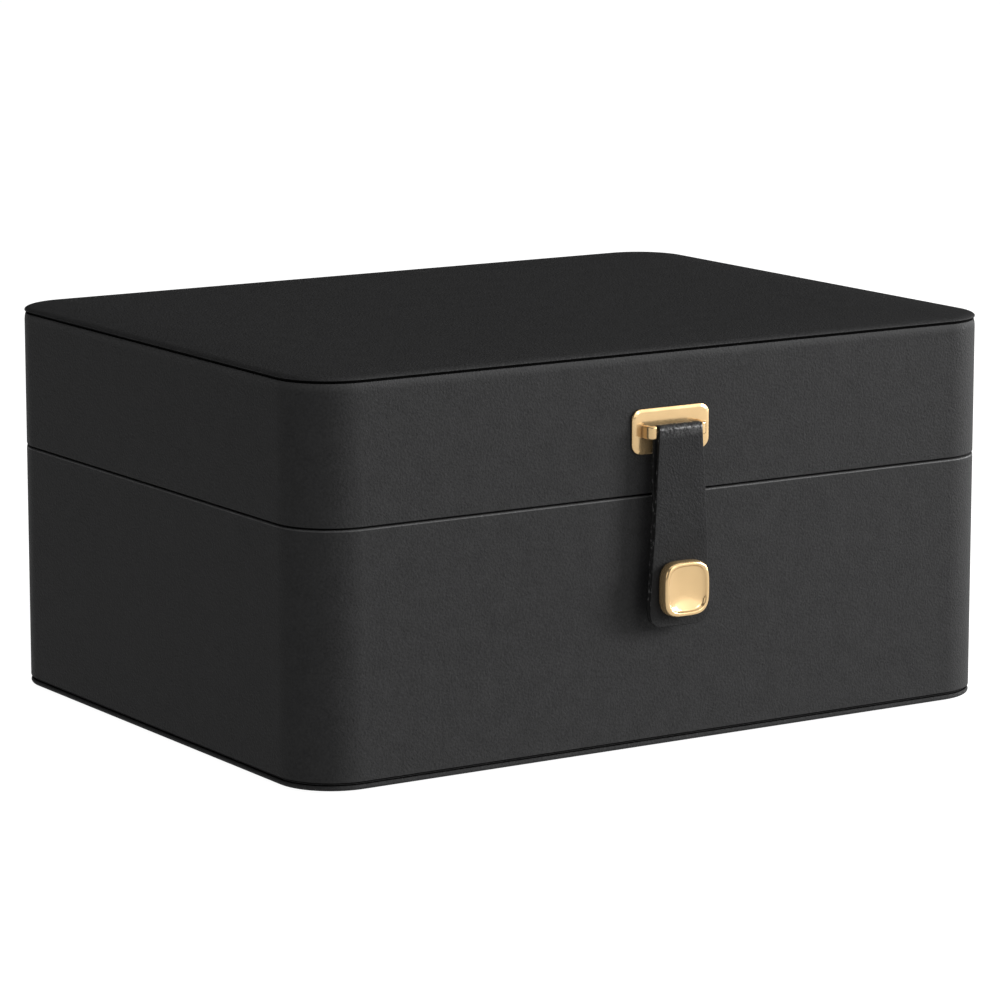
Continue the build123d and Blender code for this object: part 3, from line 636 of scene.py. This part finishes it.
def dished_button():
    """A cushion-shaped button with a round rim and a shallow dish inside it."""
    low, high = size_of("button_cap")
    profile = [(1.2, 0.0), (0.5, 0.05), (0.17, 0.35), (0.03, 0.9), (0.0, 1.6), (0.02, 2.4)]
    profile += [(0.07, 2.95), (0.16, 3.3), (0.32, 3.58), (0.52, 3.74), (0.75, 3.8), (1.0, 3.79)]
    profile += [(1.16, 3.72), (1.28, 3.58), (1.37, 3.4), (1.46, 3.24)]
    dish_inset, dish_out, dish_run, dish_deep = 1.6, 3.12, 5.6, 0.85
    profile.append((dish_inset, dish_out))
    for step in range(1, 13):
        run = step / 12
        sunk = dish_deep * (1 - (1 - run) ** 2)
        profile.append((dish_inset + dish_run * run, dish_out - sunk))
    strap_face = FRONT_LEG + STRAP_THICK / 2
    middle = (low.z + high.z) / 2
    rings = button_rings(high.x - low.x, high.z - low.z, middle, strap_face, profile)
    points, faces = loft(rings)
    add_piece("button_dished", points, faces, "gold_polished", "strap", ["button_cap"])


dished_button()


# --- Velvet linings and boards -------------------------------------------------------------------
def join(parts):
    """One mesh's points and faces from several closed skins'."""
    points, faces = [], []
    for part_points, part_faces in parts:
        start = len(points)
        points += part_points
        faces += [tuple(i + start for i in face) for face in part_faces]
    return points, faces


def flat_rings(width, depth, corner, profile, centre=(0, 0), side_steps=10):
    """Rings that lie flat; the profile gives each one's inset and height."""
    rings = []
    for inset, z in profile:
        loop = rounded_loop(width - 2 * inset, depth - 2 * inset, corner - inset, 8, side_steps)
        rings.append([(x + centre[0], y + centre[1], z) for x, y in loop])
    return rings


def wall_profile(outer, inner, low, high, soft):
    """A wall's section with soft edges: insets and heights, from the outside over the top."""
    profile = arc(outer + soft, low + soft, soft, 270, 180)
    profile += arc(outer + soft, high - soft, soft, 180, 90)
    profile += arc(inner - soft, high - soft, soft, 90, 0)
    return profile + arc(inner - soft, low + soft, soft, 0, -90)


def soft_wall(name, node, body, outer, inner, soft):
    """A velvet-covered ring that follows the box's walls, between two insets."""
    low, high = node_height(node)
    points, faces = loft(body_rings(wall_profile(outer, inner, low, high, soft)), closed=True)
    add_piece(name, points, faces, "velvet_grey", body, [node])


def felt_pad():
    """The felt under the box, worn round at its edge."""
    low, high = node_height("bottom_felt")
    inset, worn = 6.0, 0.15
    profile = [(inset + 0.25, low), (inset, low + worn)]
    profile += [(inset, high - worn), (inset + 0.2, high)]
    points, faces = loft(body_rings(profile))
    add_piece("bottom_felt_pad", points, faces, "felt_black", "base", ["bottom_felt"])


def divider(node, body):
    """A board wrapped in velvet: soft upright corners, a round top and slightly full sides."""
    low, high = size_of(node)
    width, depth = high.x - low.x, high.y - low.y
    thick = min(width, depth)
    round_top = thick * 0.42
    profile = [(0.25, low.z), (0.02, low.z + 0.5)]
    profile += [(0.0, low.z + (high.z - low.z) * step / 6) for step in range(1, 6)]
    profile += arc(round_top, high.z - round_top, round_top, 180, 95, 8)
    centre = ((low.x + high.x) / 2, (low.y + high.y) / 2)
    rings = flat_rings(width, depth, thick * 0.45, profile, centre, 24)
    points, faces = loft(rings)
    add_piece(node + "_velvet", points, faces, "velvet_grey", body, [node])


soft_wall("base_wall_lining", "base_wall_velvet", "base", outer=5.88, inner=7.0, soft=0.5)
soft_wall("lid_wall_lining", "lid_wall_velvet", "lid", outer=5.88, inner=7.0, soft=0.5)
soft_wall("tray_ledge_velvet", "tray_ledge", "base", outer=7.08, inner=10.0, soft=1.1)
felt_pad()
for part in ("long", "left", "right"):
    divider(f"lower_{part}_divider", "base")
    divider(f"tray_{part}_divider", "tray")


# --- Tray shell and pads -------------------------------------------------------------------------
TRAY_LOW, TRAY_HIGH = size_of("tray_shell")
TRAY_WIDTH, TRAY_DEPTH = TRAY_HIGH.x - TRAY_LOW.x, TRAY_HIGH.y - TRAY_LOW.y
TRAY_CORNER, TRAY_WALL, TRAY_FLOOR = 12.0, 3.0, 2.5
PAD_GAP = 0.4  # between a pad and the walls round it


def tray_shell():
    """The velvet-covered tray: a soft rim and foot, inside and out."""
    foot, rim, floor_z = 0.8, 1.2, TRAY_LOW.z + TRAY_FLOOR
    profile = [(2.0, TRAY_LOW.z)] + arc(foot, TRAY_LOW.z + foot, foot, 270, 180)
    profile += arc(rim, TRAY_HIGH.z - rim, rim, 180, 90, 8)
    profile += arc(TRAY_WALL - rim, TRAY_HIGH.z - rim, rim, 90, 0, 8)
    profile += [(TRAY_WALL, floor_z + 1.0), (TRAY_WALL + 0.4, floor_z)]
    rings = flat_rings(TRAY_WIDTH, TRAY_DEPTH, TRAY_CORNER, profile, side_steps=24)
    points, faces = loft(rings)
    add_piece("tray_shell_velvet", points, faces, "velvet_grey", "tray", ["tray_shell"])


def pad(span_x, span_y, low, edge, crown, corner):
    """A thin foam pad under velvet: steep soft sides and a crowned face."""
    (x0, x1), (y0, y1) = ((start + PAD_GAP, end - PAD_GAP) for start, end in (span_x, span_y))
    soft = edge * 0.6
    profile = [(0.3, low), (0.0, low + 0.2), (0.0, low + edge - soft)]
    profile += arc(soft, low + edge - soft, soft, 180, 100, 5)
    reach = min(x1 - x0, y1 - y0) * 0.42
    for step in range(1, 11):
        run = reach * (step / 10) ** 1.5
        profile.append((soft + run, low + edge + crown * (1 - math.exp(-run / 7))))
    rings = flat_rings(x1 - x0, y1 - y0, corner, profile, ((x0 + x1) / 2, (y0 + y1) / 2), 16)
    return loft(rings)


def back_spans(end_x, divider_low, divider_high):
    """Where the three places behind a long divider start and end, from left to right."""
    return [(-end_x, -divider_high.x), (-divider_low.x, divider_low.x), (divider_high.x, end_x)]


def base_floor():
    """The base's padded floor: one long pad in front and three behind the long divider."""
    low, high = node_height("base_floor_velvet")
    long_low, long_high = size_of("lower_long_divider")
    short_low, short_high = size_of("lower_right_divider")
    end_x, end_y = long_high.x, short_high.y
    parts = [loft(body_rings([(7.2, low), (7.05, high - 0.5), (7.3, high - 0.25)]))]
    behind = (long_high.y, end_y)
    spans = [((-end_x, end_x), (-end_y, long_low.y))]
    spans += [(span_x, behind) for span_x in back_spans(end_x, short_low, short_high)]
    for span_x, span_y in spans:
        parts.append(pad(span_x, span_y, high - 0.35, edge=0.6, crown=0.9, corner=3.5))
    points, faces = join(parts)
    stands_for = ["base_floor_velvet"]
    pads = add_piece("base_floor_pads", points, faces, "velvet_grey", "base", stands_for)


def tray_floor():
    """The tray's padded floor, with three pads behind the long divider."""
    low, high = node_height("tray_floor_velvet")
    long_high = size_of("tray_long_divider")[1]
    short_low, short_high = size_of("tray_right_divider")
    profile = [(TRAY_WALL + 0.2, low), (TRAY_WALL + 0.08, high - 0.4)]
    profile.append((TRAY_WALL + 0.3, high - 0.2))
    parts = [loft(flat_rings(TRAY_WIDTH, TRAY_DEPTH, TRAY_CORNER, profile))]
    end_corner, middle_corner = 7.5, 1.5
    corners = (end_corner, middle_corner, end_corner)
    behind = (long_high.y, short_high.y)
    for span_x, corner in zip(back_spans(long_high.x, short_low, short_high), corners):
        parts.append(pad(span_x, behind, high - 0.3, edge=0.5, crown=0.7, corner=corner))
    points, faces = join(parts)
    stands_for = ["tray_floor_velvet"]
    pads = add_piece("tray_floor_pads", points, faces, "velvet_grey", "tray", stands_for)


tray_shell()
base_floor()
tray_floor()


# --- Ring rolls ----------------------------------------------------------------------------------
SIM_SCALE = 20  # cloth behaves at the scale of a bolster, so a roll is enlarged while it swells


def swell(points, faces, voxel, pressure, cap, frames):
    """Points and faces of a velvet skin that a cloth simulation has blown up a little. No point
    moves farther than the cap; everything is in millimetres."""
    grow = MM * SIM_SCALE
    mesh = bpy.data.meshes.new("swell")
    mesh.from_pydata([Vector(p) * grow for p in points], [], faces)
    work = bpy.data.objects.new("swell", mesh)
    scene = bpy.context.scene
    scene.collection.objects.link(work)
    remesh = work.modifiers.new("remesh", "REMESH")
    remesh.mode, remesh.voxel_size = "VOXEL", voxel * grow
    graph = bpy.context.evaluated_depsgraph_get()
    work.data = bpy.data.meshes.new_from_object(work.evaluated_get(graph))
    work.modifiers.clear()
    start = [v.co.copy() for v in work.data.vertices]
    cloth = work.modifiers.new("cloth", "CLOTH")
    cloth.settings.use_pressure = True
    cloth.settings.uniform_pressure_force = pressure
    cloth.settings.effector_weights.gravity = 0
    cloth.point_cache.frame_start, cloth.point_cache.frame_end = 1, frames
    for step in range(1, frames + 1):
        scene.frame_set(step)
    graph = bpy.context.evaluated_depsgraph_get()
    swollen = bpy.data.meshes.new_from_object(work.evaluated_get(graph))
    shift_cap = cap * grow
    for vertex, before in zip(swollen.vertices, start):
        move = vertex.co - before
        if move.length > shift_cap:
            vertex.co = before + move * (shift_cap / move.length)
    points = [v.co / grow for v in swollen.vertices]
    faces = [tuple(p.vertices) for p in swollen.polygons]
    scene.frame_set(1)
    bpy.data.objects.remove(work)
    return points, faces


def keep_in_tray(point, inset):
    """The point, moved in if it lies outside the tray's rounded outline at an inset."""
    corner = TRAY_CORNER - inset
    half_w, half_d = TRAY_WIDTH / 2 - inset - corner, TRAY_DEPTH / 2 - inset - corner
    x, y, z = point
    over_x, over_y = abs(x) - half_w, abs(y) - half_d
    if over_x > 0 and over_y > 0:
        reach = math.hypot(over_x, over_y)
        pull = min(1.0, corner / reach)
        over_x, over_y = over_x * pull, over_y * pull
    x = math.copysign(half_w + min(over_x, corner), x)
    y = math.copysign(half_d + min(over_y, corner), y)
    return x, y, z


def roll_skin(low, high, shrink):
    """One roll's skin: a flat foot, straight sides, a round top and gathered ends."""
    middle = (low.y + high.y) / 2
    half = (high.y - low.y) / 2 - shrink
    bottom, top, foot = low.z + shrink * 0.3, high.z - shrink, 1.3
    section = arc(middle + half - foot, bottom + foot, foot, -90, 0, 3)
    section += arc(middle, top - half, half, 0, 180, 12)
    section += arc(middle - half + foot, bottom + foot, foot, 180, 270, 3)
    end = high.x - shrink
    stations = [(-end, 0.78), (-end + 0.7, 0.92), (-end + 1.8, 1.0)]
    stations += [(-end + 1.8 + (2 * end - 3.6) * step / 48, 1.0) for step in range(1, 48)]
    stations += [(end - 1.8, 1.0), (end - 0.7, 0.92), (end, 0.78)]
    centre = (bottom + top) / 2
    rings = []
    for x, draw in stations:
        ring = [(x, middle + (y - middle) * draw, centre + (z - centre) * draw) for y, z in section]
        rings.append([keep_in_tray(p, TRAY_WALL + 0.4 + shrink) for p in ring])
    return loft(rings)


def ring_roll(index):
    """One velvet roll with a slight sway and ripples along it."""
    node = f"ring_roll_{index}"
    low, high = size_of(node)
    points, faces = swell(*roll_skin(low, high, 0.5), voxel=2.0, pressure=6, cap=0.5, frames=20)
    room = (high.y - low.y) / 2
    middle = (low.y + high.y) / 2
    shaped = []
    for x, y, z in points:
        share = (z - low.z) / (high.z - low.z)
        sway = noise.noise(Vector((x * 0.035, y * 0.05, index * 7.3)))
        ripple = noise.noise(Vector((x * 0.16, y * 0.12, z * 0.12 + index * 3.1)))
        z += share * (0.3 * sway + 0.22 * ripple - 0.25)
        y += share * 0.25 * sway
        y = min(max(y, middle - room), middle + room)
        shaped.append(keep_in_tray((x, y, max(z, low.z + 0.02)), TRAY_WALL + 0.3))
    roll = add_piece(node + "_velvet", shaped, faces, "velvet_grey", "tray", [node])
    roll.modifiers.new("smooth", "SUBSURF").render_levels = 1


for number in range(1, 7):
    ring_roll(number)


# --- Pull tabs -----------------------------------------------------------------------------------
def pull_tab(name, side):
    """A strip of leather glued to the tray's end wall and bent in over the rim, with a free
    rounded tongue."""
    low, high = size_of(name + "_pull_tab")
    thick = 0.6
    outside = max(abs(low.x), abs(high.x)) - thick / 2
    rim, bend = high.z - thick / 2, 0.9
    line = [(outside, low.z + (rim - bend - low.z) * step / 8) for step in range(9)]
    line += arc(outside - bend, rim - bend, bend, 0, 90, 8)[1:]
    reach = 13.0
    for step in range(1, 27):
        run = reach * (step / 26) ** 0.9
        droop = 1.7 * max(0.0, (run - 3.2) / (reach - 3.2)) ** 2
        line.append((outside - bend - run, rim - droop))
    half = high.y
    half_widths = []
    corner = 4.7
    for x, z in line:
        tip = x - line[-1][0]
        cut = 0.0
        if tip < corner and z > rim - 2:
            cut = corner - math.sqrt(max(corner**2 - (corner - tip) ** 2, 0.0))
        half_widths.append(half - cut)

    def place(across, out, up):
        return side * out, across, up

    rings = ribbon(line, half_widths, thick, place, edge=0.15)
    points, faces = loft(rings)
    node = name + "_pull_tab"
    piece = node + "_leather"
    tab = add_piece(piece, points, faces, "leather_black", "tray", [node], TAB_LEATHER)
    paint(tab, RAW_EDGE, lambda middle, normal: abs(normal.y) > 0.6)


pull_tab("left", -1)
pull_tab("right", 1)


# --- Lid's ceiling and mirror --------------------------------------------------------------------
def ceiling():
    """The lid's padded ceiling, which swells between its edge and the mirror's frame."""
    low, high = node_height("lid_ceiling_velvet")
    lining, rim = 7.1, low + 0.5
    clear_of_frame = DEPTH / 2 - size_of("mirror_frame")[1].y
    profile = [(5.9, high), (5.9, rim), (lining, rim)]
    for step in range(1, 20):
        t = step / 20
        swelling = 0.95 * math.sin(math.pi * t) ** 0.8
        profile.append((lining + (clear_of_frame - lining) * t, rim - 0.55 * t - swelling))
    profile.append((clear_of_frame + 1.5, low + 0.02))
    points, faces = loft(body_rings(profile[::-1]))
    stands_for = ["lid_ceiling_velvet"]
    padding = add_piece("lid_ceiling_padding", points, faces, "velvet_grey", "lid", stands_for)


def mirror_frame():
    """A leather frame that laps over the glass, with a broad outer and a small inner round."""
    low, high = size_of("mirror_frame")
    glass_face = node_height("mirror_glass")[0] - 0.02
    side, opening = 3.96, 6.0  # insets of the frame's hidden inner wall and of its opening
    outer, inner = 1.6, 0.4  # the radii of its outer and inner edge
    profile = [(0.1, high.z), (0.0, high.z - 0.6)]
    profile += arc(outer, low.z + outer, outer, 180, 270, 8) + [(2.8, low.z - 0.02), (4.8, low.z)]
    profile += arc(opening - inner, low.z + inner, inner, 270, 360)
    profile += [(opening, glass_face), (side, glass_face), (side, high.z)]
    rings = flat_rings(high.x - low.x, high.y - low.y, 12.0, profile)
    points, faces = loft(rings, closed=True)
    add_piece("mirror_frame_leather", points, faces, "leather_black", "lid", ["mirror_frame"])


ceiling()
mirror_frame()


# --- Camera, floor and light ---------------------------------------------------------------------
def place_camera():
    """A long lens, from the front left and a little above."""
    data = bpy.data.cameras.new("camera")
    data.lens = 165
    data.sensor_width = 36
    camera = bpy.data.objects.new("camera", data)
    bpy.context.scene.collection.objects.link(camera)
    camera.location = (-0.71051, -1.10764, 0.29941)
    camera.rotation_euler = (math.radians(79.511), 0, math.radians(-32.712))
    bpy.context.scene.camera = camera


def lay_floor():
    """White paper that reaches past the frame on every side and shines a little, so that it stays
    white to the horizon."""
    half = 8
    z = -0.0002  # just clear of the felt, so that the two faces don't coincide
    mesh = bpy.data.meshes.new("floor")
    corners = [(-half, -half, z), (half, -half, z), (half, half, z), (-half, half, z)]
    mesh.from_pydata(corners, [], [(0, 1, 2, 3)])
    floor = bpy.data.objects.new("floor", mesh)
    bpy.context.scene.collection.objects.link(floor)
    paper = Nodes("floor_paper")
    paper.set(
        Base_Color=paper.mix(paper.noise(3), grey(0.18), grey(0.2)),
        Roughness=1.0,
        Specular_IOR_Level=0.0,
        Emission_Color=(1, 1, 1, 1),
        Emission_Strength=0.97,
    )
    mesh.materials.append(paper.material)


def area_light(name, place, target, size, power):
    """A rectangular soft box at a place, aimed at a target."""
    data = bpy.data.lights.new(name, "AREA")
    data.shape = "RECTANGLE"
    data.size, data.size_y = size
    data.energy = power
    light = bpy.data.objects.new(name, data)
    bpy.context.scene.collection.objects.link(light)
    light.location = place
    aim = Vector(target) - Vector(place)
    light.rotation_euler = aim.to_track_quat("-Z", "Y").to_euler()


def light_world():
    """A faint white light from everywhere."""
    world = bpy.data.worlds.new("studio")
    world.use_nodes = True
    backdrop = world.node_tree.nodes["Background"]
    backdrop.inputs["Color"].default_value = (1, 1, 1, 1)
    backdrop.inputs["Strength"].default_value = 0.06
    bpy.context.scene.world = world


place_camera()
lay_floor()
area_light("overhead", (0.2, -0.3, 2.6), (0.1, 0.0, 0), (3.0, 2.5), 38)
area_light("soft_front", (1.1, -2.1, 1.1), (0, 0, 0.06), (3.2, 2.3), 54)
area_light("sparkle_front", (0.5, -1.85, 0.78), (0, 0, 0.06), (0.4, 0.4), 4)
area_light("key_right", (1.15, -0.85, 0.45), (0.02, -0.08, 0.06), (0.5, 0.5), 34)
area_light("rim_right", (1.5, -0.14, 0.2), (0.1, -0.08, 0.06), (0.5, 0.6), 20)
area_light("soft_left", (-2.1, -0.4, 0.8), (0, 0, 0.06), (1.5, 1.2), 9)
light_world()
bpy.context.scene.view_settings.view_transform = "Standard"
